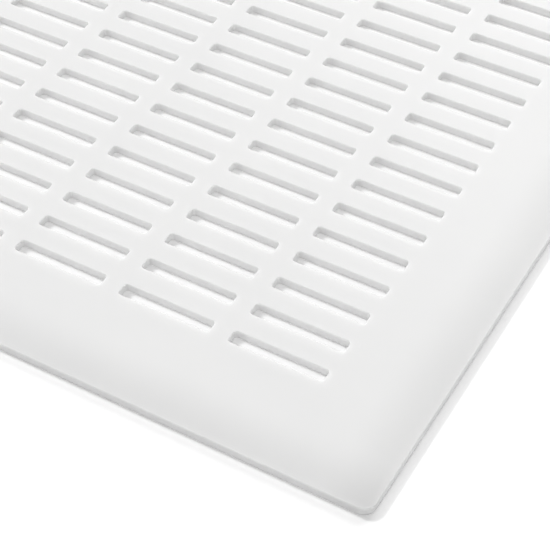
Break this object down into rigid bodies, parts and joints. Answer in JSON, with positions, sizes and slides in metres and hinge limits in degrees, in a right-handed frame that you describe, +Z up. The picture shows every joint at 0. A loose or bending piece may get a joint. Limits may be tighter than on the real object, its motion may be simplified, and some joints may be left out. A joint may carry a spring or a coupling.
{
  "type": "queen excluder",
  "caption": "Flat rectangular plastic sheet with rounded corners, a plain rim and a regular grid of narrow slots that pass worker bees but not a queen.",
  "frame": {"origin": "centre of the underside, which lies on the hive box", "axes": "+Z up out of the sheet; X along the long side and along the slots; Y along the short side"},
  "size_m": [0.5048, 0.4128, 0.0028],
  "materials": {
    "milky_plastic": "satin, slightly translucent natural plastic"
  },
  "bodies": {
    "root": {"excluder_sheet": "milky_plastic"}
  },
  "joints": []
}
